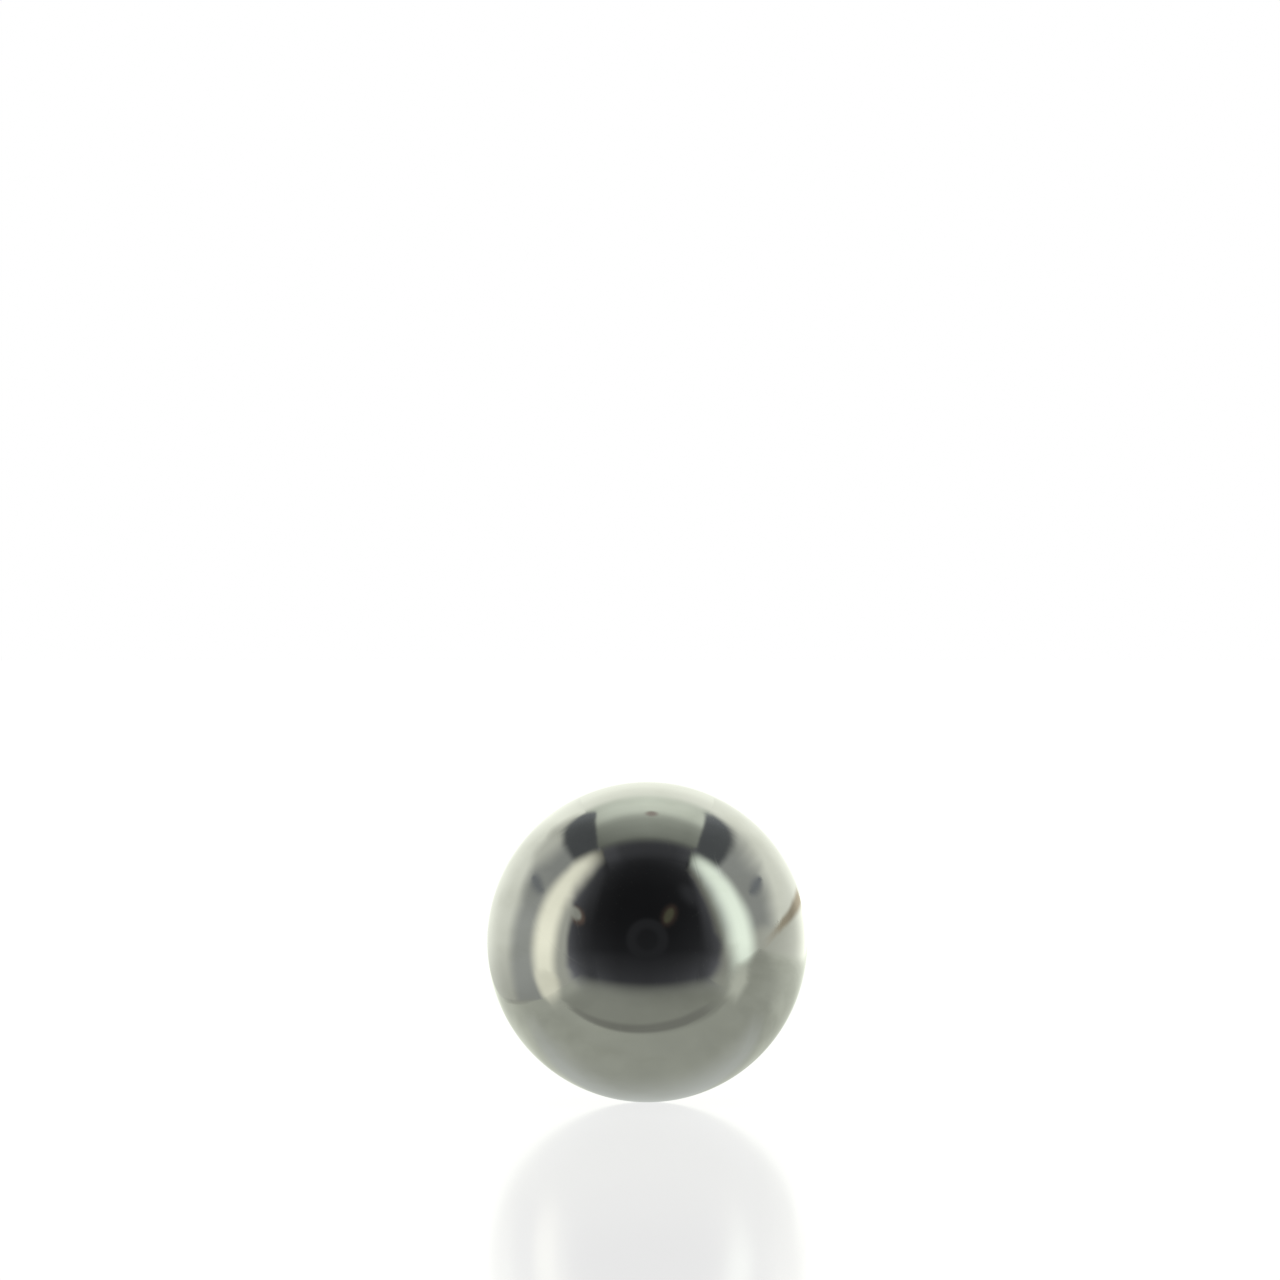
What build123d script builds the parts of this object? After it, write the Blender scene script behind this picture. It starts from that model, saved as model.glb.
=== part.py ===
from build123d import *
import os

# A steel ball: one solid piece, ground and polished to a true sphere all over.
# Sizes are in millimetres. The origin is the ball's centre and +Z is up.

# Driving dimension
ball_diameter = 12.7

# Worked out from it
ball_radius = ball_diameter / 2


def half_section():
    """The flat shape that is turned to make the ball: half a disc beside the Z axis."""
    pole = (0, ball_radius)
    opposite_pole = (0, -ball_radius)
    side = (ball_radius, 0)
    rim = ThreePointArc(opposite_pole, side, pole)
    axis_edge = Line(pole, opposite_pole)
    return Plane.XZ * make_face([rim, axis_edge])


def make_ball():
    """The solid ball: its half section taken a full turn about the Z axis."""
    ball = revolve(half_section(), axis=Axis.Z, revolution_arc=360)
    ball.label = "ball"
    return ball


os.makedirs("parts", exist_ok=True)
export_step(make_ball(), "parts/ball.step")
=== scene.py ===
import math

import bmesh
import bpy
from mathutils import Matrix, Vector


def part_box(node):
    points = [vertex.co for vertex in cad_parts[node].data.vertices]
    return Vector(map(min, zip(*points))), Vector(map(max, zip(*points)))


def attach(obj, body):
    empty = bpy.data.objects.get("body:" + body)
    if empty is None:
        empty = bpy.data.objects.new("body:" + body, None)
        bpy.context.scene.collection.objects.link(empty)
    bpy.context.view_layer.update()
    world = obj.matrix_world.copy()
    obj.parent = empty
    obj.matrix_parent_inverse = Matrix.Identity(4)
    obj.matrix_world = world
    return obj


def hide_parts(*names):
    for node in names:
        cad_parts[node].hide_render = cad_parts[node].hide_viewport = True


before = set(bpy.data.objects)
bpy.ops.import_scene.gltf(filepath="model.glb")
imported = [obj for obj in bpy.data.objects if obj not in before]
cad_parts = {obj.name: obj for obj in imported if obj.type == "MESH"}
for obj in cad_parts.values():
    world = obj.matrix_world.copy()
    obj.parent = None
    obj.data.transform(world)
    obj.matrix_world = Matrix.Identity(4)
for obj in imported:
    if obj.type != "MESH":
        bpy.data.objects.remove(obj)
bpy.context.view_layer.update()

# Sizes taken from the frame, in metres
ball_low, ball_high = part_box("ball")
ball_radius = (ball_high.z - ball_low.z) / 2
resting_height = ball_low.z

# The picture, and where the ball stands in it
picture_width = 1280
ball_in_picture = (647.2, 942.0)
ball_radius_in_picture = 160.0
lens_length = 200.0
sensor_width = 36.0
clip_ratio = 100

# The camera's distance and height that put the ball there
focal_pixels = lens_length / sensor_width * picture_width
camera_distance = ball_radius * focal_pixels / ball_radius_in_picture
camera_side = (picture_width / 2 - ball_in_picture[0]) / focal_pixels * camera_distance
camera_rise = (ball_in_picture[1] - picture_width / 2) / focal_pixels * camera_distance
sight_line_tilt = math.atan2(camera_rise, camera_distance)


# Node helpers. A Mix node's colour sockets share their names with its others, so they go by number.
mix_share_in = 0
mix_first_in = 6
mix_second_in = 7
mix_colour_out = 2


def link(tree, out_node, out_name, in_node, in_name):
    """Joins one node's output to another's input. Each socket is a name or a number."""
    tree.links.new(out_node.outputs[out_name], in_node.inputs[in_name])


def new_material(name):
    """An empty node material with its output."""
    material = bpy.data.materials.new(name)
    material.use_nodes = True
    material.node_tree.nodes.clear()
    output = material.node_tree.nodes.new("ShaderNodeOutputMaterial")
    return material, material.node_tree, output


def add_math(tree, operation, first, second):
    """A maths node. Each input is a number or a (node, output) pair."""
    node = tree.nodes.new("ShaderNodeMath")
    node.operation = operation
    for index, value in enumerate((first, second)):
        if isinstance(value, tuple):
            link(tree, *value, node, index)
        else:
            node.inputs[index].default_value = value
    return node, 0


def add_map(tree, value, from_low, from_high, to_low=0.0, to_high=1.0, smooth=True):
    """Brings a value from one range to another, held at its ends."""
    node = tree.nodes.new("ShaderNodeMapRange")
    node.interpolation_type = "SMOOTHSTEP" if smooth else "LINEAR"
    node.inputs["From Min"].default_value = from_low
    node.inputs["From Max"].default_value = from_high
    node.inputs["To Min"].default_value = to_low
    node.inputs["To Max"].default_value = to_high
    link(tree, *value, node, "Value")
    return node, "Result"


def add_colour_mix(tree, blend, share, first, second):
    """Mixes two colours, each an RGB triple or a (node, output) pair, by a share or such a pair."""
    node = tree.nodes.new("ShaderNodeMix")
    node.data_type = "RGBA"
    node.blend_type = blend
    for socket, value in ((mix_share_in, share), (mix_first_in, first), (mix_second_in, second)):
        if isinstance(value, tuple) and isinstance(value[0], bpy.types.Node):
            link(tree, *value, node, socket)
        elif socket == mix_share_in:
            node.inputs[socket].default_value = value
        else:
            node.inputs[socket].default_value = (*value, 1)
    return node, mix_colour_out


def add_noise(tree, place, scale, detail, roughness=0.5, stretch=(1, 1, 1), turn=(0, 0, 0)):
    """Cloudy noise on a place, which may be turned and stretched first."""
    turned = tree.nodes.new("ShaderNodeMapping")
    turned.inputs["Rotation"].default_value = turn
    turned.inputs["Scale"].default_value = stretch
    link(tree, *place, turned, "Vector")
    noise = tree.nodes.new("ShaderNodeTexNoise")
    noise.inputs["Scale"].default_value = scale
    noise.inputs["Detail"].default_value = detail
    noise.inputs["Roughness"].default_value = roughness
    link(tree, turned, "Vector", noise, "Vector")
    return noise, 0


def add_mesh(name, bm, material):
    """Turns a finished bmesh into an object at the origin."""
    mesh = bpy.data.meshes.new(name)
    bm.to_mesh(mesh)
    bm.free()
    mesh.materials.append(material)
    piece = bpy.data.objects.new(name, mesh)
    bpy.context.scene.collection.objects.link(piece)
    return piece


# Camera
def make_camera():
    """A level camera with a long lens, low down in front of the ball."""
    data = bpy.data.cameras.new("camera")
    data.lens = lens_length
    data.sensor_width = sensor_width
    data.clip_start = camera_distance / clip_ratio
    data.clip_end = camera_distance * clip_ratio
    camera = bpy.data.objects.new("camera", data)
    camera.location = (camera_side, -camera_distance, camera_rise)
    camera.rotation_euler = (math.radians(90), 0, 0)
    bpy.context.scene.collection.objects.link(camera)
    bpy.context.scene.camera = camera


# World
def make_world():
    """Plain white light from all round, which is the background too."""
    world = bpy.data.worlds.new("white_room")
    world.use_nodes = True
    background = world.node_tree.nodes["Background"]
    background.inputs["Color"].default_value = (1, 1, 1, 1)
    background.inputs["Strength"].default_value = 1.0
    bpy.context.scene.world = world


# Floor. Lengths are in metres, and the gloss fades between two distances from the ball.
floor_half_width = 6.0
floor_gloss_at_grazing = 0.36
floor_gloss_falloff = 5
floor_gloss_roughness = 0.09
floor_gloss_full_to = 0.09
floor_gloss_ends_at = 0.17
floor_shade_share = 0.08
floor_glow = 1.03


def floor_material():
    """White floor with a weak shade under the ball, and near it a gloss that shows when looked along."""
    material, tree, output = new_material("white_floor")
    matt = tree.nodes.new("ShaderNodeBsdfDiffuse")
    matt.inputs["Color"].default_value = (1, 1, 1, 1)
    glow = tree.nodes.new("ShaderNodeEmission")
    glow.inputs["Strength"].default_value = floor_glow
    white = tree.nodes.new("ShaderNodeMixShader")
    white.inputs[0].default_value = floor_shade_share
    link(tree, glow, 0, white, 1)
    link(tree, matt, 0, white, 2)
    gloss = tree.nodes.new("ShaderNodeBsdfAnisotropic")
    gloss.distribution = "MULTI_GGX"
    gloss.inputs["Color"].default_value = (1, 1, 1, 1)
    gloss.inputs["Roughness"].default_value = floor_gloss_roughness
    facing = tree.nodes.new("ShaderNodeLayerWeight")
    grazing = add_math(tree, "POWER", (facing, "Facing"), floor_gloss_falloff)
    share = add_math(tree, "MULTIPLY", grazing, floor_gloss_at_grazing)
    where = tree.nodes.new("ShaderNodeTexCoord")
    distance = tree.nodes.new("ShaderNodeVectorMath")
    distance.operation = "LENGTH"
    link(tree, where, "Object", distance, 0)
    near = add_map(tree, (distance, "Value"), floor_gloss_full_to, floor_gloss_ends_at, 1.0, 0.0)
    share = add_math(tree, "MULTIPLY", share, near)
    mix = tree.nodes.new("ShaderNodeMixShader")
    link(tree, *share, mix, 0)
    link(tree, white, 0, mix, 1)
    link(tree, gloss, 0, mix, 2)
    link(tree, mix, 0, output, "Surface")
    return material


def make_floor():
    """A wide floor under the ball. What the ball mirrors below itself is the table of the set."""
    bm = bmesh.new()
    bmesh.ops.create_grid(bm, x_segments=1, y_segments=1, size=floor_half_width)
    bmesh.ops.translate(bm, verts=bm.verts, vec=(0, 0, resting_height))
    floor = add_mesh("floor", bm, floor_material())
    floor.visible_glossy = False
    return floor


# Studio set, which only mirrors see. It stands square to the camera's line of sight. Its cards glow in
# the tones that lit and shaded surfaces would show, so the light and shade on its walls, ceiling, front
# and table are painted.
set_turn = Matrix.Rotation(-sight_line_tilt, 4, "X")
set_axes = {"right": ("X", 1), "towards": ("Y", -1), "up": ("Z", 1)}


def set_point(right, up, towards):
    """A point of the set, from how far it is right, up and towards the camera."""
    return set_turn @ Vector((right, -towards, up))


def left_wall(towards, up):
    """A point of the left wall, one unit from the ball."""
    return set_point(-1, up, towards)


def right_wall(towards, up):
    """A point of the right wall."""
    return set_point(1, up, towards)


def ceiling(right, towards):
    """A point of the ceiling."""
    return set_point(right, 1, towards)


def front(right, up):
    """A point of the dark front, behind the camera."""
    return set_point(right, up, 1)


def back(right, up):
    """A point of the back, which closes the set far behind the ball."""
    return set_point(right, up, -1)


def table(right, towards):
    """A point of the table. Its unit is the ball's radius, and it is level."""
    return Vector((right, -towards, -1))


# Clouding of an uneven card
clouds_to_reach = 1.4
cloud_detail = 3
cloud_stretch = (1, 0.6, 1)
cloud_turn = (0, 0, 0.6)
cloud_darkest_at = 0.3
cloud_lightest_at = 0.7


def add_tones(tree, parts, reach, direction, tones):
    """A ramp of greys along one direction of the set, with the level that its white stands for."""
    axis, sign = set_axes[direction]
    stops = sorted((sign * place * reach, level) for place, level in tones)
    first, last = stops[0][0], stops[-1][0]
    brightest = max(level for place, level in stops)
    along = add_map(tree, (parts, axis), first, last, smooth=False)
    ramp = tree.nodes.new("ShaderNodeValToRGB")
    elements = ramp.color_ramp.elements
    for index, (place, level) in enumerate(stops):
        share = (place - first) / (last - first)
        grey = level / brightest
        stop = elements[index] if index < 2 else elements.new(share)
        stop.position = share
        stop.color = (grey, grey, grey, 1)
    link(tree, *along, ramp, 0)
    return (ramp, "Color"), brightest


def card_material(name, reach, tint, runs, unevenness=0.0, fade=None):
    """Plain light from a card, in tones that change along it, clear where the card's cover ends.

    runs is a list of (direction, tones), and tones a list of (place in units, level). Where a card
    has two runs, their levels multiply. fade is (direction, clear place, full place)."""
    material, tree, output = new_material(name)
    where = tree.nodes.new("ShaderNodeTexCoord")
    squared = tree.nodes.new("ShaderNodeMapping")
    squared.inputs["Rotation"].default_value = (sight_line_tilt, 0, 0)
    link(tree, where, "Object", squared, "Vector")
    parts = tree.nodes.new("ShaderNodeSeparateXYZ")
    link(tree, squared, "Vector", parts, 0)
    colour = tint
    strength = 1.0
    for direction, tones in runs:
        greys, brightest = add_tones(tree, parts, reach, direction, tones)
        colour = add_colour_mix(tree, "MULTIPLY", 1.0, greys, colour)
        strength *= brightest
    if unevenness:
        scale = clouds_to_reach / reach
        cloud = add_noise(
            tree, (where, "Object"), scale, cloud_detail, stretch=cloud_stretch, turn=cloud_turn
        )
        shade = add_map(tree, cloud, cloud_darkest_at, cloud_lightest_at, 1 - unevenness, 1.0)
        colour = add_colour_mix(tree, "MULTIPLY", 1.0, colour, shade)
        strength *= 1 + unevenness / 2
    light = tree.nodes.new("ShaderNodeEmission")
    light.inputs["Strength"].default_value = strength
    link(tree, *colour, light, "Color")
    clear = tree.nodes.new("ShaderNodeBsdfTransparent")
    cover = tree.nodes.new("ShaderNodeAttribute")
    cover.attribute_name = "cover"
    soft = add_map(tree, (cover, "Fac"), 0.0, 1.0)
    if fade:
        direction, clear_place, full_place = fade
        axis, sign = set_axes[direction]
        fading = add_map(tree, (parts, axis), sign * clear_place * reach, sign * full_place * reach)
        soft = add_math(tree, "MULTIPLY", soft, fading)
    mix = tree.nodes.new("ShaderNodeMixShader")
    link(tree, *soft, mix, 0)
    link(tree, clear, 0, mix, 1)
    link(tree, light, 0, mix, 2)
    link(tree, mix, 0, output, "Surface")
    material.cycles.emission_sampling = "NONE"
    return material


def hide_from_view(card):
    """Leaves a card to be seen only where something shiny mirrors it."""
    card.visible_camera = False
    card.visible_diffuse = False
    card.visible_shadow = False
    return card


def make_card(name, surface, reach, outline, soft_edge, tint, runs):
    """A flat card of the set with a soft edge.

    surface is one of the set's surfaces, reach its distance in metres, and outline and soft_edge
    are in units of that distance."""
    bm = bmesh.new()
    cover = bm.verts.layers.float.new("cover")
    rim = [bm.verts.new(surface(*point) * reach) for point in outline]
    card_face = bm.faces.new(rim)
    bm.normal_update()
    bmesh.ops.inset_region(
        bm, faces=[card_face], thickness=soft_edge * reach, use_even_offset=True, use_boundary=True
    )
    for vert in bm.verts:
        vert[cover] = 0.0 if vert in rim else 1.0
    material = card_material(name, reach, tint, runs)
    return hide_from_view(add_mesh(name, bm, material))


def make_band(name, surface, reach, upright, rows, tint, runs, unevenness=0.0, fade=None):
    """A card made row by row, with a soft edge of its own on each side.

    Each row is (place along, four places across, cover). The card is clear at the two outer places
    and has the row's cover between the two inner ones. An upright band runs along its surface's
    second direction."""
    bm = bmesh.new()
    cover = bm.verts.layers.float.new("cover")
    last_row = len(rows) - 1
    last_column = 3
    bmesh.ops.create_grid(bm, x_segments=last_column, y_segments=last_row, size=0.5)
    for vert in bm.verts:
        along, places, fullness = rows[round((vert.co.y + 0.5) * last_row)]
        column = round((vert.co.x + 0.5) * last_column)
        vert[cover] = 0.0 if column in (0, last_column) else fullness
        point = (places[column], along) if upright else (along, places[column])
        vert.co = surface(*point) * reach
    material = card_material(name, reach, tint, runs, unevenness, fade)
    return hide_from_view(add_mesh(name, bm, material))


oval_points = 12


def oval(centre, size, lean=0):
    """The outline of an oval, from its centre, half length and half width, and lean in degrees."""
    turn = math.radians(lean)
    outline = []
    for step in range(oval_points):
        angle = 2 * math.pi * step / oval_points
        along = size[0] * math.cos(angle)
        across = size[1] * math.sin(angle)
        outline.append((
            centre[0] + along * math.cos(turn) - across * math.sin(turn),
            centre[1] + along * math.sin(turn) + across * math.cos(turn),
        ))
    return outline


def plain(level):
    """A single tone, for a card that is the same all over."""
    return [("up", [(-10, level), (10, level)])]


# Tints of the set's light. Green is 1 in each, so the levels alone say how bright a card is.
left_strip_white = (1.0, 1.0, 0.835)
right_strip_white = (0.90, 1.0, 0.875)
ceiling_grey = (0.93, 1.0, 0.87)
wall_grey = (0.97, 1.0, 0.89)
shade_grey = (0.955, 1.0, 0.95)
table_grey = (0.955, 1.0, 0.87)
bar_blue = (0.93, 1.0, 1.055)
front_blue = (0.97, 1.0, 1.10)
olive = (1.0, 1.0, 0.66)
rust = (1.35, 1.0, 0.85)
spot_brown = (1.12, 1.0, 0.9)
tan = (1.12, 1.0, 0.76)

# How far each layer of the set is from the ball, in metres. A nearer one covers one behind it.
strip_reach = 0.6
glow_wall_reach = 0.65
border_reach = 0.7
bar_reach = 0.8
mark_reach = 0.88
halo_reach = 0.90
dark_end_reach = 0.93
foot_reach = 0.945
shade_reach = 0.96
half_shade_reach = 0.98
wall_reach = 1.0
front_lamp_reach = 1.08
front_halo_reach = 1.12
ring_reach = 1.16
front_glow_reach = 1.18
front_reach = 1.2
ceiling_spot_reach = 2.15
ceiling_patch_reach = 2.25
ceiling_reach = 2.3
back_reach = 7.9

# The table's layers lie just below the ball, the same way.
table_reach = ball_radius * 1.012
near_reach = ball_radius * 1.011
patch_reach = ball_radius * 1.010
contact_reach = ball_radius * 1.009
flap_reach = ball_radius * 1.008
glow_reach = ball_radius * 1.006
line_reach = ball_radius * 1.003


def make_walls():
    """Long pale walls on both sides, and the back between their far ends."""
    edge = 0.01
    back_outline = [(-0.14, -0.08), (0.14, -0.08), (0.14, 0.31), (-0.14, 0.31)]
    back_level = 1.14
    left_outline = [
        (1.0, -2.6), (-8, -2.6), (-8, 2.17), (-0.4, 2.10), (0.0, 1.95), (0.3, 1.81), (1.0, 1.70),
    ]
    right_outline = [
        (1.0, -2.6), (-8, -2.6), (-8, 2.17), (-1.4, 2.06), (-0.4, 1.92), (0.3, 1.80), (1.0, 1.70),
    ]
    left_tones = [(-8, 1.08), (-3, 1.08), (-2, 1.09), (-1.4, 1.03), (-1.0, 0.97), (1.22, 0.90)]
    left_rise = [
        (-1.2, 0.60), (-0.45, 0.61), (-0.3, 0.65), (-0.15, 0.78), (0.0, 0.96), (0.15, 1.02),
        (0.3, 1.01), (0.45, 1.06), (0.6, 1.07), (0.75, 1.06), (0.9, 1.04), (1.05, 1.09),
        (1.3, 1.16), (1.9, 1.12), (2.17, 1.05),
    ]
    right_tones = [(-8, 1.12), (-2, 1.14), (-1.6, 1.09), (-1.2, 1.0), (-0.8, 0.97), (1.22, 0.90)]
    right_rise = [
        (-1.2, 1.1), (-0.2, 1.1), (0.0, 1.06), (0.3, 1.03), (0.45, 1.04), (0.6, 1.05), (0.9, 1.04),
        (1.3, 1.03), (2.17, 0.98),
    ]
    foot_rows = [
        (-8, (-1.0, -0.8, 0.27, 0.35), 1.0), (-2, (-1.0, -0.8, 0.23, 0.30), 1.0),
        (-1.2, (-1.0, -0.8, 0.18, 0.25), 1.0), (-0.8, (-1.0, -0.8, 0.13, 0.20), 1.0),
        (-0.5, (-1.0, -0.8, 0.08, 0.16), 1.0), (-0.2, (-1.0, -0.8, 0.06, 0.16), 1.0),
        (0.0, (-1.0, -0.8, 0.06, 0.20), 1.0), (0.3, (-1.0, -0.8, 0.0, 0.15), 1.0),
    ]
    foot_tones = [
        (-8, 1.70), (-3, 1.60), (-2, 1.40), (-1.5, 1.24), (-1.2, 1.07), (-0.9, 0.88), (-0.6, 0.76),
        (-0.3, 0.67), (0.0, 0.58), (0.3, 0.5),
    ]
    return [
        make_card("left_wall", left_wall, wall_reach, left_outline, edge, wall_grey,
                  [("towards", left_tones), ("up", left_rise)]),
        make_card("right_wall", right_wall, wall_reach, right_outline, edge, wall_grey,
                  [("towards", right_tones), ("up", right_rise)]),
        make_band("right_wall_foot", right_wall, foot_reach, False, foot_rows, wall_grey,
                  [("towards", foot_tones)]),
        make_card("back", back, back_reach, back_outline, edge, wall_grey, plain(back_level)),
    ]


def make_dark_ends():
    """The dark end of each wall, beside the camera, and the right strip light's faint glow on it."""
    across = (0.25, 0.4, 1.05, 1.4)
    rows = [(2.05, across, 0.0), (1.88, across, 1.0), (-2.6, across, 1.0)]
    left_tones = [
        (0.25, 0.30), (0.5, 0.17), (0.62, 0.11), (0.71, 0.08), (0.8, 0.058), (0.9, 0.045),
        (1.0, 0.036), (1.22, 0.027),
    ]
    left_rise = [
        (-1.2, 2.3), (-0.45, 2.1), (-0.3, 1.7), (-0.1, 1.15), (0.3, 1.0), (0.6, 1.25), (0.9, 1.45),
        (1.2, 1.5), (1.5, 1.6), (1.7, 1.3), (1.88, 1.1), (2.05, 1.0),
    ]
    right_tones = [
        (0.25, 0.36), (0.5, 0.22), (0.62, 0.16), (0.71, 0.12), (0.8, 0.10), (0.9, 0.08),
        (1.0, 0.060), (1.22, 0.038),
    ]
    right_rise = [
        (-1.2, 1.8), (-0.45, 1.6), (-0.3, 1.3), (-0.15, 0.9), (0.1, 1.0), (0.3, 1.1), (0.6, 1.35),
        (0.9, 1.5), (1.5, 1.4), (1.7, 1.0), (1.88, 0.6), (2.05, 0.5),
    ]
    glow_level = 0.21
    glow_rows = [
        (-0.1, (0.55, 0.70, 0.72, 0.90), 0.0), (0.15, (0.60, 0.70, 0.74, 0.94), 1.0),
        (0.45, (0.60, 0.75, 0.82, 1.00), 1.0), (0.9, (0.70, 0.85, 0.93, 1.10), 1.0),
        (1.35, (0.80, 0.92, 0.98, 1.16), 0.9), (1.7, (0.85, 0.98, 1.06, 1.25), 0.5),
        (2.0, (0.90, 1.05, 1.15, 1.35), 0.0),
    ]
    return [
        make_band("left_dark_end", left_wall, dark_end_reach, True, rows, front_blue,
                  [("towards", left_tones), ("up", left_rise)]),
        make_band("right_dark_end", right_wall, dark_end_reach, True, rows, front_blue,
                  [("towards", right_tones), ("up", right_rise)]),
        make_band("right_strip_glow", right_wall, glow_wall_reach, True, glow_rows, wall_grey,
                  plain(glow_level)),
    ]


def make_shades():
    """Soft grey shades on the walls, behind the far side of each strip light."""
    left_rows = [
        (1.7, (-0.75, -0.2, 0.2, 0.35), 0.0), (1.3, (-0.75, -0.15, 0.2, 0.35), 1.0),
        (1.0, (-0.72, -0.1, 0.2, 0.35), 1.0), (0.8, (-0.78, -0.1, 0.2, 0.35), 1.0),
        (0.6, (-0.8, -0.35, 0.2, 0.35), 1.0), (0.3, (-0.6, -0.2, 0.2, 0.35), 1.0),
        (0.0, (-0.67, -0.27, 0.15, 0.3), 1.0), (-0.3, (-0.8, -0.4, 0.05, 0.2), 1.0),
        (-0.45, (-0.95, -0.55, 0.0, 0.15), 1.0), (-0.9, (-1.0, -0.6, 0.0, 0.15), 1.0),
    ]
    left_rise = [
        (-0.9, 0.38), (-0.45, 0.40), (-0.3, 0.45), (0.0, 0.49), (0.15, 0.49), (0.3, 0.44),
        (0.6, 0.40), (0.75, 0.36), (1.7, 0.35),
    ]
    half_level = 0.69
    half_rows = [
        (2.0, (-2.0, -1.3, 0.0, 0.1), 0.0), (1.5, (-1.9, -1.15, 0.0, 0.1), 0.95),
        (1.2, (-1.8, -1.1, 0.0, 0.1), 0.9), (1.0, (-1.35, -0.85, 0.0, 0.1), 0.85),
        (0.8, (-1.25, -0.75, 0.0, 0.1), 0.8), (0.55, (-1.1, -0.7, 0.0, 0.1), 0.0),
    ]
    right_level = 0.40
    right_rows = [
        (1.7, (-1.4, -0.2, 0.3, 0.45), 0.0), (1.35, (-1.5, -0.1, 0.3, 0.45), 1.0),
        (1.05, (-1.4, -0.1, 0.3, 0.45), 1.0), (0.9, (-1.15, -0.02, 0.3, 0.45), 1.0),
        (0.75, (-1.0, 0.0, 0.3, 0.45), 1.0), (0.6, (-0.75, -0.1, 0.3, 0.45), 1.0),
        (0.3, (-0.55, -0.05, 0.25, 0.4), 1.0), (0.0, (-0.4, 0.0, 0.2, 0.35), 1.0),
        (-0.4, (-0.35, 0.0, 0.1, 0.25), 1.0),
    ]
    return [
        make_band("left_shade", left_wall, shade_reach, True, left_rows, shade_grey, [("up", left_rise)]),
        make_band("left_half_shade", left_wall, half_shade_reach, True, half_rows, wall_grey,
                  plain(half_level)),
        make_band("right_shade", right_wall, shade_reach, True, right_rows, shade_grey,
                  plain(right_level)),
    ]


def make_strips():
    """Two tall soft strip lights, which lean towards the camera at the top and dim there."""
    left_rows = [
        (2.14, (0.32, 0.52, 0.55, 0.92), 0.0), (1.94, (0.27, 0.52, 0.54, 0.98), 1.0),
        (1.8, (0.20, 0.50, 0.52, 1.00), 1.0), (1.5, (0.13, 0.42, 0.44, 0.92), 1.0),
        (1.2, (0.05, 0.37, 0.38, 0.89), 1.0), (0.9, (0.04, 0.31, 0.34, 0.81), 1.0),
        (0.6, (-0.02, 0.24, 0.35, 0.70), 1.0), (0.3, (-0.06, 0.18, 0.31, 0.55), 1.0),
        (0.0, (-0.10, 0.14, 0.26, 0.49), 1.0), (-0.3, (-0.15, 0.08, 0.19, 0.41), 1.0),
        (-0.45, (-0.14, 0.09, 0.14, 0.38), 1.0), (-0.85, (-0.20, 0.05, 0.09, 0.34), 1.0),
    ]
    left_rise = [
        (-0.75, 0.60), (-0.6, 0.80), (-0.45, 1.06), (-0.3, 1.22), (-0.15, 1.27), (0.0, 1.38),
        (0.3, 1.28), (0.6, 1.24), (0.9, 1.18), (1.2, 1.09), (1.35, 0.92), (1.5, 0.75),
        (1.65, 0.56), (1.8, 0.36), (1.95, 0.22), (2.1, 0.13),
    ]
    right_rows = [
        (2.15, (0.45, 0.74, 0.76, 1.15), 0.0), (1.8, (0.32, 0.66, 0.70, 1.12), 1.0),
        (1.5, (0.28, 0.60, 0.62, 1.04), 1.0), (1.2, (0.21, 0.52, 0.55, 0.99), 1.0),
        (0.9, (0.18, 0.45, 0.48, 0.97), 1.0), (0.6, (0.14, 0.38, 0.45, 0.92), 1.0),
        (0.3, (0.06, 0.33, 0.39, 0.84), 1.0), (0.0, (0.02, 0.28, 0.34, 0.76), 1.0),
        (-0.3, (-0.04, 0.22, 0.26, 0.62), 1.0), (-0.7, (-0.10, 0.16, 0.20, 0.56), 1.0),
    ]
    right_rise = [
        (-0.5, 0.78), (-0.3, 1.08), (-0.15, 1.35), (0.0, 1.50), (0.6, 1.41), (0.9, 1.37),
        (1.2, 1.32), (1.35, 1.24), (1.5, 1.12), (1.65, 0.86), (1.8, 0.54), (1.95, 0.33), (2.1, 0.20),
    ]
    return [
        make_band("left_strip", left_wall, strip_reach, True, left_rows, left_strip_white,
                  [("up", left_rise)]),
        make_band("right_strip", right_wall, strip_reach, True, right_rows, right_strip_white,
                  [("up", right_rise)]),
    ]


def make_borders():
    """The grey lower border of each strip light, on its camera side."""
    left_level = 0.53
    right_level = 0.37
    left_rows = [
        (0.65, (0.2, 0.3, 0.52, 0.70), 0.0), (0.45, (0.2, 0.3, 0.56, 0.74), 0.9),
        (0.3, (0.2, 0.3, 0.55, 0.72), 1.0), (0.15, (0.2, 0.3, 0.54, 0.68), 1.0),
        (0.0, (0.2, 0.3, 0.53, 0.65), 1.0), (-0.3, (0.15, 0.25, 0.46, 0.63), 1.0),
        (-0.45, (0.1, 0.2, 0.46, 0.70), 1.0), (-0.85, (0.1, 0.2, 0.5, 0.8), 0.7),
    ]
    right_rows = [
        (0.3, (0.3, 0.4, 0.62, 0.78), 0.0), (0.1, (0.3, 0.4, 0.62, 0.8), 0.6),
        (-0.15, (0.3, 0.4, 0.58, 0.8), 1.0), (-0.3, (0.3, 0.4, 0.56, 0.82), 1.0),
        (-0.6, (0.3, 0.4, 0.66, 0.95), 1.0),
    ]
    return [
        make_band("left_border", left_wall, border_reach, True, left_rows, wall_grey, plain(left_level)),
        make_band("right_border", right_wall, border_reach, True, right_rows, wall_grey,
                  plain(right_level)),
    ]


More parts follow.
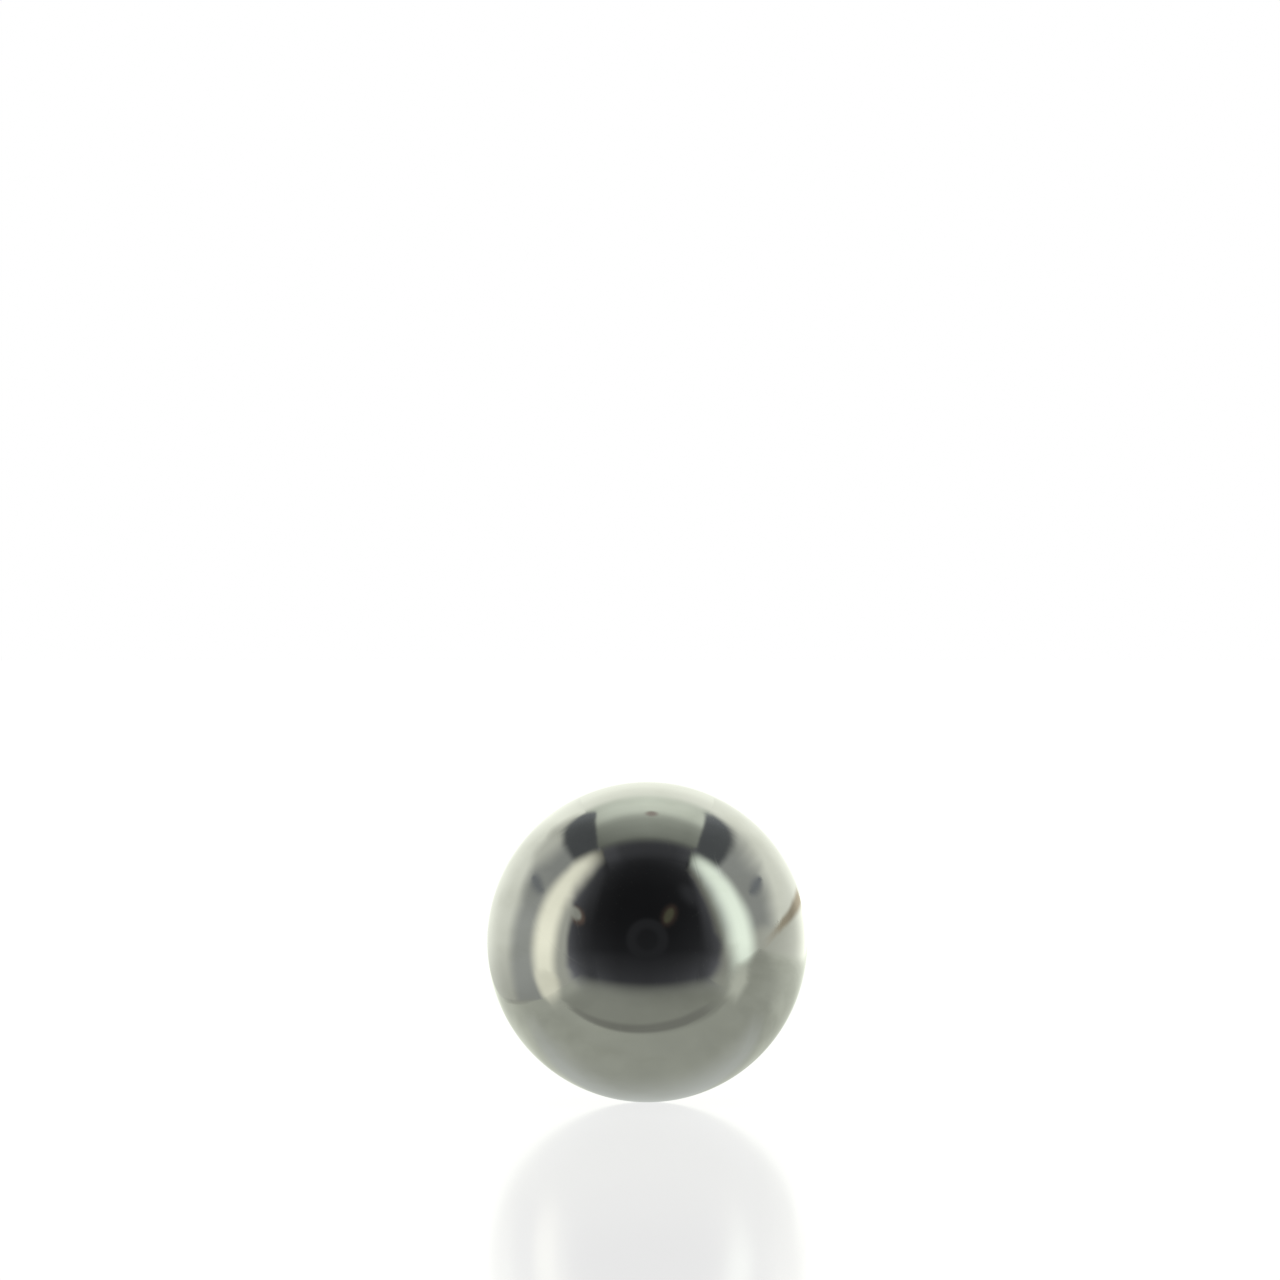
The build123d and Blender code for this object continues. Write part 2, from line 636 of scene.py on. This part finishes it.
def make_bars():
    """The broad dark bars high on both walls, which fade out away from the camera."""
    left_rows = [
        (0.6, (1.00, 1.18, 1.68, 1.84), 1.0), (0.0, (1.03, 1.21, 1.96, 2.14), 1.0),
        (-0.4, (1.05, 1.26, 2.12, 2.30), 1.0), (-0.6, (1.12, 1.32, 2.18, 2.36), 1.0),
        (-0.8, (1.16, 1.38, 2.23, 2.42), 1.0), (-1.0, (1.16, 1.52, 2.29, 2.48), 1.0),
        (-1.2, (1.36, 1.72, 2.38, 2.56), 1.0), (-1.4, (1.50, 1.92, 2.44, 2.60), 1.0),
        (-1.6, (1.68, 2.08, 2.46, 2.64), 0.6), (-1.8, (1.80, 2.20, 2.48, 2.70), 0.2),
        (-2.1, (1.95, 2.35, 2.50, 2.80), 0.0),
    ]
    left_tones = [
        (-2.2, 0.26), (-1.5, 0.23), (-1.2, 0.20), (-1.0, 0.16), (-0.8, 0.13), (-0.5, 0.11), (-0.1, 0.10),
    ]
    right_rows = [
        (0.7, (0.97, 1.15, 1.72, 1.90), 1.0), (0.0, (0.97, 1.15, 1.87, 2.05), 1.0),
        (-0.4, (1.00, 1.22, 1.93, 2.12), 1.0), (-0.6, (1.04, 1.28, 1.96, 2.14), 1.0),
        (-0.8, (1.06, 1.38, 1.99, 2.17), 1.0), (-1.0, (1.10, 1.52, 2.02, 2.20), 1.0),
        (-1.2, (1.22, 1.75, 2.05, 2.24), 1.0), (-1.4, (1.40, 1.90, 2.08, 2.30), 0.8),
        (-1.7, (1.60, 2.00, 2.15, 2.45), 0.35), (-2.2, (1.70, 2.10, 2.25, 2.60), 0.0),
    ]
    right_tones = [(-2.2, 0.28), (-1.3, 0.24), (-1.0, 0.195), (-0.8, 0.155), (-0.3, 0.12), (0.0, 0.11)]
    return [
        make_band("left_bar", left_wall, bar_reach, False, left_rows, bar_blue,
                  [("towards", left_tones)]),
        make_band("right_bar", right_wall, bar_reach, False, right_rows, bar_blue,
                  [("towards", right_tones)]),
    ]


def make_wall_marks():
    """The smallest shapes on the walls: two soft spots, a lamp with its halo and a fine edge line."""
    lean = -15
    left_spot = oval((-0.22, 0.53), (0.26, 0.12), lean)
    right_spot = oval((-0.18, 0.52), (0.26, 0.12), lean)
    halo = oval((0.76, 0.38), (0.25, 0.18), lean)
    lamp = oval((0.71, 0.40), (0.18, 0.12), lean)
    spot_edge = 0.11
    lamp_edge = 0.07
    spot_level = 0.25
    halo_level = 0.10
    lamp_level = 0.37
    line_rows = [
        (0.05, (-0.12, -0.05, -0.01, 0.04), 0.0), (-0.3, (0.03, 0.08, 0.10, 0.15), 0.6),
        (-0.5, (0.08, 0.13, 0.155, 0.20), 1.0), (-0.8, (0.12, 0.17, 0.20, 0.25), 1.0),
        (-1.2, (0.15, 0.215, 0.25, 0.31), 1.0), (-2.0, (0.18, 0.255, 0.295, 0.36), 1.0),
        (-4.0, (0.22, 0.29, 0.33, 0.40), 0.9),
    ]
    line_tones = [(-4.0, 0.70), (-1.6, 0.56), (-1.2, 0.44), (-0.9, 0.36), (-0.6, 0.40), (0.05, 0.45)]
    return [
        make_card("left_spot", left_wall, mark_reach, left_spot, spot_edge, bar_blue, plain(spot_level)),
        make_card("right_spot", right_wall, mark_reach, right_spot, spot_edge, bar_blue,
                  plain(spot_level)),
        make_card("left_lamp_halo", left_wall, halo_reach, halo, spot_edge, rust, plain(halo_level)),
        make_card("left_lamp", left_wall, mark_reach, lamp, lamp_edge, wall_grey, plain(lamp_level)),
        make_band("right_line", right_wall, mark_reach, False, line_rows, tan, [("towards", line_tones)]),
    ]


def make_ceiling():
    """A ceiling that is dark over the camera, grey over the ball and pale beyond, with a small spot."""
    edge = 0.005
    outline = [(-0.67, 0.53), (0.67, 0.53), (0.67, -3.5), (-0.67, -3.5)]
    tones = [
        (-3.5, 1.15), (-0.94, 0.98), (-0.8, 0.91), (-0.52, 0.98), (-0.38, 0.92), (-0.31, 0.79),
        (-0.24, 0.58), (-0.17, 0.46), (-0.03, 0.37), (0.04, 0.345), (0.12, 0.30), (0.2, 0.20),
        (0.53, 0.10),
    ]
    sideways = [
        (-0.5, 0.70), (-0.38, 0.82), (-0.28, 0.89), (0.0, 1.04), (0.28, 0.98), (0.38, 0.90), (0.5, 0.92),
    ]
    dark_across = (-0.67, -0.66, 0.66, 0.67)
    dark_rows = [(0.13, dark_across, 0.0), (0.29, dark_across, 1.0), (0.54, dark_across, 1.0)]
    dark_tones = [(0.10, 0.10), (0.25, 0.070), (0.32, 0.060), (0.39, 0.057), (0.46, 0.048), (0.53, 0.034)]
    dark_sideways = [(-0.45, 1.6), (-0.36, 1.5), (-0.28, 1.1), (0.0, 1.0), (0.3, 1.05), (0.45, 1.4)]
    far_across = (-0.6, -0.59, 0.59, 0.6)
    far_rows = [(-0.65, far_across, 0.0), (-1.05, far_across, 1.0), (-3.5, far_across, 1.0)]
    far_tones = [(-3.5, 1.18), (-1.8, 1.24), (-1.0, 1.12)]
    spot = oval((0.035, -0.28), (0.075, 0.085))
    spot_edge = 0.055
    spot_level = 0.36
    return [
        make_card("ceiling", ceiling, ceiling_reach, outline, edge, ceiling_grey,
                  [("towards", tones), ("right", sideways)]),
        make_band("ceiling_dark_end", ceiling, ceiling_patch_reach, True, dark_rows, front_blue,
                  [("towards", dark_tones), ("right", dark_sideways)]),
        make_band("ceiling_far_end", ceiling, ceiling_patch_reach, True, far_rows, wall_grey,
                  [("towards", far_tones)]),
        make_card("ceiling_spot", ceiling, ceiling_spot_reach, spot, spot_edge, spot_brown,
                  plain(spot_level)),
    ]


# The ring round the line of sight, in units of its distance
ring_centre = (0.0, 0.03)
ring_outer = 0.30
ring_inner = 0.11
ring_edge = 0.07
ring_segments = 48
ring_level = 0.026
ring_inside_cover = 0.4


def make_ring():
    """A soft flat ring on the dark front, with a fainter disc inside it."""
    bm = bmesh.new()
    cover = bm.verts.layers.float.new("cover")
    middle = front(*ring_centre) * ring_reach
    upright = Matrix.Rotation(math.radians(90), 4, "X")
    placed = Matrix.Translation(middle) @ set_turn @ upright
    bmesh.ops.create_circle(
        bm, cap_ends=True, segments=ring_segments, radius=ring_outer * ring_reach, matrix=placed
    )
    disc = bm.faces[:]
    bm.normal_update()
    for width in (ring_edge, ring_outer - ring_inner - 2 * ring_edge, ring_edge):
        bmesh.ops.inset_region(
            bm, faces=disc, thickness=width * ring_reach, use_even_offset=True, use_boundary=True
        )
    for vert in bm.verts:
        radius = (vert.co - placed.translation).length / ring_reach
        if radius > ring_outer - ring_edge / 2:
            vert[cover] = 0.0
        elif radius > ring_inner + ring_edge / 2:
            vert[cover] = 1.0
        else:
            vert[cover] = ring_inside_cover
    material = card_material("front_ring", ring_reach, front_blue, plain(ring_level))
    return hide_from_view(add_mesh("front_ring", bm, material))


def make_front():
    """The dark front behind the camera, with a faint glow, a small lamp and the ring."""
    edge = 0.005
    outline = [(-1.12, -2.6), (1.12, -2.6), (1.12, 1.94), (-1.12, 1.94)]
    rise = [
        (-2.6, 0.055), (-0.55, 0.05), (-0.4, 0.039), (-0.25, 0.029), (-0.1, 0.0165), (0.1, 0.0135),
        (0.4, 0.0115), (0.8, 0.0125), (1.4, 0.0185), (1.75, 0.026), (1.94, 0.035),
    ]
    sideways = [
        (-1.12, 2.2), (-0.86, 1.9), (-0.6, 1.42), (-0.4, 1.1), (0.0, 1.0), (0.3, 1.15), (0.45, 1.3),
        (0.6, 1.5), (0.86, 1.95), (1.12, 2.2),
    ]
    glow = oval((0.74, 0.80), (0.34, 0.36))
    glow_edge = 0.28
    glow_level = 0.043
    lean = 62
    halo = oval((0.30, 0.365), (0.23, 0.15), lean)
    halo_edge = 0.1
    halo_level = 0.035
    lamp = oval((0.29, 0.355), (0.15, 0.085), lean)
    lamp_edge = 0.055
    lamp_level = 0.09
    return [
        make_card("front", front, front_reach, outline, edge, front_blue,
                  [("up", rise), ("right", sideways)]),
        make_card("front_glow", front, front_glow_reach, glow, glow_edge, front_blue, plain(glow_level)),
        make_card("front_lamp_halo", front, front_halo_reach, halo, halo_edge, rust, plain(halo_level)),
        make_card("front_lamp", front, front_lamp_reach, lamp, lamp_edge, olive, plain(lamp_level)),
        make_ring(),
    ]


def make_table():
    """The table that the ball mirrors, painted lighter away from the camera, with its flap, fold and
    glows that are painted reflections of the strip lights.
    """
    rows = [
        (2.9, (-2.7, -2.4, 3.0, 4.5), 1.0), (2.3, (-2.35, -2.15, 6.0, 10), 1.0),
        (1.6, (-2.05, -1.97, 6.0, 20), 1.0), (0.6, (-1.92, -1.84, 6.0, 24), 1.0),
        (-0.1, (-2.10, -2.02, 6.0, 20), 1.0), (-1.0, (-2.26, -2.18, 6.0, 18), 1.0),
        (-3.4, (-2.55, -2.40, 5.0, 14), 1.0), (-5.5, (-2.75, -2.55, 4.0, 10), 1.0),
        (-10, (-3.1, -2.8, 3.4, 7), 1.0), (-110, (-10, -8, 3.0, 6), 1.0),
    ]
    tones = [
        (-110, 1.14), (-14, 1.10), (-10, 1.05), (-7, 0.96), (-5, 0.87), (-4, 0.80), (-3, 0.72),
        (-2.0, 0.68), (-1.5, 0.65), (-1.0, 0.61), (-0.4, 0.53), (0.0, 0.475), (0.8, 0.445),
        (3.0, 0.46),
    ]
    sideways = [
        (-10, 1.2), (-1.4, 1.12), (-0.6, 1.14), (-0.2, 1.06), (0.2, 1.02), (2.5, 1.01), (5, 0.95),
        (20, 0.90),
    ]
    unevenness = 0.05
    near_unevenness = 0.18
    patch_unevenness = 0.12
    flap_unevenness = 0.08
    contact_level = 0.63
    left_glow_level = 1.04
    right_glow_level = 0.72
    fold_level = 0.26
    edge_level = 0.40
    front_fade = ("towards", 2.6, 1.1)
    near_rows = [
        (1.0, (-1.6, -1.0, 1.6, 2.4), 0.0), (0.6, (-1.6, -1.0, 1.6, 2.4), 1.0),
        (-0.6, (-1.8, -1.2, 1.8, 3.0), 1.0), (-1.6, (-1.8, -1.2, 1.8, 3.0), 0.0),
    ]
    near_tones = [(-1.6, 0.70), (-1.0, 0.65), (-0.4, 0.565), (0.0, 0.505), (0.8, 0.475), (1.0, 0.47)]
    patch_rows = [
        (0.3, (-1.6, -1.1, -0.45, -0.05), 0.0), (-0.3, (-1.7, -1.2, -0.45, -0.05), 1.0),
        (-1.2, (-1.9, -1.3, -0.4, 0.0), 1.0), (-2.2, (-2.0, -1.2, -0.1, 0.7), 0.8),
        (-4.0, (-2.2, -1.4, 0.5, 1.5), 0.8), (-7.0, (-2.4, -1.6, 1.0, 2.0), 0.0),
    ]
    patch_tones = [(-7.0, 1.0), (-4.0, 0.95), (-2.0, 0.82), (-1.0, 0.76), (0.3, 0.64)]
    # A lighter band of painted light across the table right under the ball, in the shades' tint.
    contact_rows = [
        (-1.8, (-0.34, 0.02, 0.10, 0.46), 0.0), (-0.9, (-0.42, 0.0, 0.12, 0.54), 0.7),
        (0.0, (-0.46, -0.02, 0.14, 0.58), 1.0), (0.9, (-0.42, 0.0, 0.12, 0.54), 0.7),
        (1.8, (-0.34, 0.02, 0.10, 0.46), 0.0),
    ]
    flap_tones = [(1.0, 0.355), (1.3, 0.345), (1.6, 0.32), (2.9, 0.315)]
    flap_rows = [
        (1.0, (-1.9, -1.2, 1.0, 1.6), 0.0), (1.13, (-1.9, -1.2, 1.05, 1.65), 1.0),
        (1.6, (-1.9, -1.2, 1.3, 1.9), 1.0), (2.9, (-1.9, -1.2, 1.3, 1.9), 1.0),
    ]
    # The fold is a darker line of painted shade along the table's crease.
    fold_rows = [
        (-1.4, (0.96, 1.03, 1.08, 1.16), 0.0), (-1.1, (0.97, 1.04, 1.09, 1.17), 0.6),
        (-0.5, (1.00, 1.06, 1.12, 1.21), 0.9), (0.0, (1.04, 1.10, 1.16, 1.25), 1.0),
        (0.5, (1.07, 1.13, 1.21, 1.31), 1.0), (0.8, (1.10, 1.16, 1.26, 1.37), 0.8),
        (1.3, (1.12, 1.20, 1.30, 1.40), 0.0),
    ]
    # The left and right glows are painted reflections of the strip lights in the table.
    left_glow_rows = [
        (-4.6, (0.50, 0.90, 1.35, 1.90), 0.0), (-3.1, (0.42, 0.82, 1.25, 1.75), 1.0),
        (-2.4, (0.45, 0.80, 1.15, 1.65), 1.0),
        (-2.0, (0.50, 0.75, 1.05, 1.45), 0.8), (-1.5, (0.60, 0.75, 0.85, 1.10), 0.2),
        (-1.2, (0.60, 0.75, 0.85, 1.10), 0.0),
    ]
    right_glow_rows = [
        (1.3, (0.85, 1.15, 1.25, 1.60), 0.0), (2.0, (0.85, 1.15, 1.25, 1.60), 1.0),
        (2.6, (0.85, 1.20, 1.40, 1.95), 1.0), (3.2, (0.90, 1.35, 1.60, 2.20), 0.75),
        (4.0, (1.0, 1.6, 2.0, 2.6), 0.6), (5.5, (1.2, 2.0, 2.4, 3.0), 0.0),
    ]
    edge_rows = [
        (0.5, (-2.10, -2.02, -1.92, -1.84), 0.0), (0.0, (-2.16, -2.07, -1.99, -1.90), 0.6),
        (-1.0, (-2.32, -2.23, -2.15, -2.06), 0.6), (-2.4, (-2.55, -2.44, -2.34, -2.22), 0.0),
    ]
    return [
        make_band("table", table, table_reach, True, rows, table_grey,
                  [("towards", tones), ("right", sideways)], unevenness, front_fade),
        make_band("table_near", table, near_reach, True, near_rows, table_grey,
                  [("towards", near_tones)], near_unevenness),
        make_band("table_patch", table, patch_reach, True, patch_rows, table_grey,
                  [("towards", patch_tones)], patch_unevenness),
        make_band("table_contact", table, contact_reach, False, contact_rows, shade_grey,
                  plain(contact_level)),
        make_band("table_flap", table, flap_reach, True, flap_rows, table_grey,
                  [("towards", flap_tones)], flap_unevenness, front_fade),
        make_band("table_left_glow", table, glow_reach, False, left_glow_rows, left_strip_white,
                  plain(left_glow_level)),
        make_band("table_right_glow", table, glow_reach, False, right_glow_rows, table_grey,
                  plain(right_glow_level)),
        make_band("table_fold", table, line_reach, False, fold_rows, wall_grey, plain(fold_level)),
        make_band("table_left_edge", table, line_reach, True, edge_rows, wall_grey, plain(edge_level)),
    ]


# Steel's colours and its roughness, polished and under a full film
polished_grey = (0.575, 0.575, 0.557)
filmed_grey = (0.525, 0.525, 0.500)
pit_grey = (0.30, 0.29, 0.27)
polished_roughness = 0.055
filmed_roughness = 0.095

# Film, and the finer mottle that thins it. Scales here and below are in cells to the metre.
film_scale = 260
film_detail = 3
film_noise_roughness = 0.55
film_stretch = (1, 1, 2.4)
film_turn = (0.5, 0.9, 0.3)
film_starts_at = 0.42
film_full_at = 0.68
mottle_scale = 1100
mottle_detail = 4
mottle_noise_roughness = 0.6
mottle_starts_at = 0.35
mottle_full_at = 0.65
thinnest_film = 0.55

# Hairlines. Each set has its turn, its spacing in metres and how far its lines bend.
hairline_sets = [
    ((0.4, 0.2, 0.0), 0.00083, 3.0),
    ((1.3, 0.5, 0.7), 0.00071, 2.0),
    ((0.2, 1.7, 1.1), 0.00097, 2.0),
]
wave_radians_to_unit = 20
bend_detail = 1.0
bend_detail_scale = 0.4
hairline_sharpness = 140
hairline_breaks_scale = 420
hairline_breaks_detail = 1
hairline_starts_at = 0.56
hairline_full_at = 0.68
hairline_roughness = 0.07

# Pits. The floor and the rim are radii, in cells.
pit_scale = 620
pit_chance_above = 0.86
pit_floor = 0.010
pit_rim = 0.022
pit_roughness = 0.25
pit_to_hairline_depth = 3.0

bump_strength = 0.12
bump_distance = 0.000002


def hairlines(tree, place, turn, spacing, bend):
    """Fine lapping lines across the ball: thin bands, broken up so that they come and go."""
    turned = tree.nodes.new("ShaderNodeMapping")
    turned.inputs["Rotation"].default_value = turn
    link(tree, *place, turned, "Vector")
    bands = tree.nodes.new("ShaderNodeTexWave")
    bands.inputs["Scale"].default_value = 2 * math.pi / (wave_radians_to_unit * spacing)
    bands.inputs["Distortion"].default_value = bend
    bands.inputs["Detail"].default_value = bend_detail
    bands.inputs["Detail Scale"].default_value = bend_detail_scale
    link(tree, turned, "Vector", bands, "Vector")
    thin = add_math(tree, "POWER", (bands, "Fac"), hairline_sharpness)
    breaks = add_noise(tree, (turned, "Vector"), hairline_breaks_scale, hairline_breaks_detail)
    broken = add_map(tree, breaks, hairline_starts_at, hairline_full_at)
    return add_math(tree, "MULTIPLY", thin, broken)


def steel_material():
    """Hardened steel lapped to a mirror, with a thin film, faint hairlines and a few tiny pits."""
    material, tree, output = new_material("polished_steel")
    where = tree.nodes.new("ShaderNodeTexCoord")
    place = (where, "Object")

    film = add_noise(
        tree, place, film_scale, film_detail, film_noise_roughness, film_stretch, film_turn
    )
    film = add_map(tree, film, film_starts_at, film_full_at)
    mottle = add_noise(tree, place, mottle_scale, mottle_detail, mottle_noise_roughness)
    mottle = add_map(tree, mottle, mottle_starts_at, mottle_full_at)
    lines = hairlines(tree, place, *hairline_sets[0])
    for hairline_set in hairline_sets[1:]:
        lines = add_math(tree, "MAXIMUM", lines, hairlines(tree, place, *hairline_set))

    cells = tree.nodes.new("ShaderNodeTexVoronoi")
    cells.inputs["Scale"].default_value = pit_scale
    link(tree, *place, cells, "Vector")
    chance = tree.nodes.new("ShaderNodeSeparateColor")
    link(tree, cells, "Color", chance, 0)
    chosen = add_math(tree, "GREATER_THAN", (chance, 0), pit_chance_above)
    hollow = add_map(tree, (cells, "Distance"), pit_floor, pit_rim, 1.0, 0.0)
    pits = add_math(tree, "MULTIPLY", hollow, chosen)

    thinned = add_map(tree, mottle, 0.0, 1.0, thinnest_film, 1.0, smooth=False)
    filmed = add_math(tree, "MULTIPLY", film, thinned)
    colour = add_colour_mix(tree, "MIX", filmed, polished_grey, filmed_grey)
    colour = add_colour_mix(tree, "MIX", pits, colour, pit_grey)

    roughness = add_map(tree, filmed, 0.0, 1.0, polished_roughness, filmed_roughness, smooth=False)
    for mark, amount in ((lines, hairline_roughness), (pits, pit_roughness)):
        roughness = add_math(tree, "ADD", roughness, add_math(tree, "MULTIPLY", mark, amount))

    depth = add_math(tree, "ADD", lines, add_math(tree, "MULTIPLY", pits, pit_to_hairline_depth))
    bump = tree.nodes.new("ShaderNodeBump")
    bump.invert = True
    bump.inputs["Strength"].default_value = bump_strength
    bump.inputs["Distance"].default_value = bump_distance
    link(tree, *depth, bump, "Height")

    steel = tree.nodes.new("ShaderNodeBsdfPrincipled")
    steel.inputs["Metallic"].default_value = 1.0
    link(tree, *colour, steel, "Base Color")
    link(tree, *roughness, steel, "Roughness")
    link(tree, bump, "Normal", steel, "Normal")
    link(tree, steel, 0, output, "Surface")
    return material


# Ball
squares_along_side = 64
chart_columns = 3
chart_margin = 0.01


def lay_out_charts(bm):
    """Lays the cube's six sides out flat, three across and two up, for the ball's own map."""
    charts = bm.loops.layers.uv.new("OFBake")
    side = 1 / chart_columns
    inner = 1 - 2 * chart_margin
    for face in bm.faces:
        normal = face.normal
        axis = max(range(3), key=lambda index: abs(normal[index]))
        across, up = [index for index in range(3) if index != axis]
        row = 1 if normal[axis] > 0 else 0
        # On three sides the two directions run left-handed from outside, so the chart is turned over.
        left_handed = (axis == 1) == (row == 1)
        for loop in face.loops:
            along = loop.vert.co[across] / 2 + 0.5
            rise = loop.vert.co[up] / 2 + 0.5
            if left_handed:
                along = 1 - along
            loop[charts].uv = (
                side * (axis + chart_margin + along * inner),
                side * (row + chart_margin + rise * inner),
            )


def make_ball():
    """An evenly faced ball: a cube divided into squares and pushed out to the sphere."""
    bm = bmesh.new()
    bmesh.ops.create_cube(bm, size=2)
    bmesh.ops.subdivide_edges(bm, edges=bm.edges, cuts=squares_along_side - 1, use_grid_fill=True)
    bm.normal_update()
    lay_out_charts(bm)
    for vert in bm.verts:
        evened = Vector([math.tan(part * math.pi / 4) for part in vert.co])
        vert.co = evened.normalized() * ball_radius
    for face in bm.faces:
        face.smooth = True
    bmesh.ops.recalc_face_normals(bm, faces=bm.faces)
    ball = add_mesh("steel_ball", bm, steel_material())
    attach(ball, "root")
    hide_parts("ball")
    return ball


bpy.context.scene.view_settings.view_transform = "Standard"
make_camera()
make_world()
make_floor()
make_walls()
make_dark_ends()
make_shades()
make_strips()
make_borders()
make_bars()
make_wall_marks()
make_ceiling()
make_front()
make_table()
make_ball()
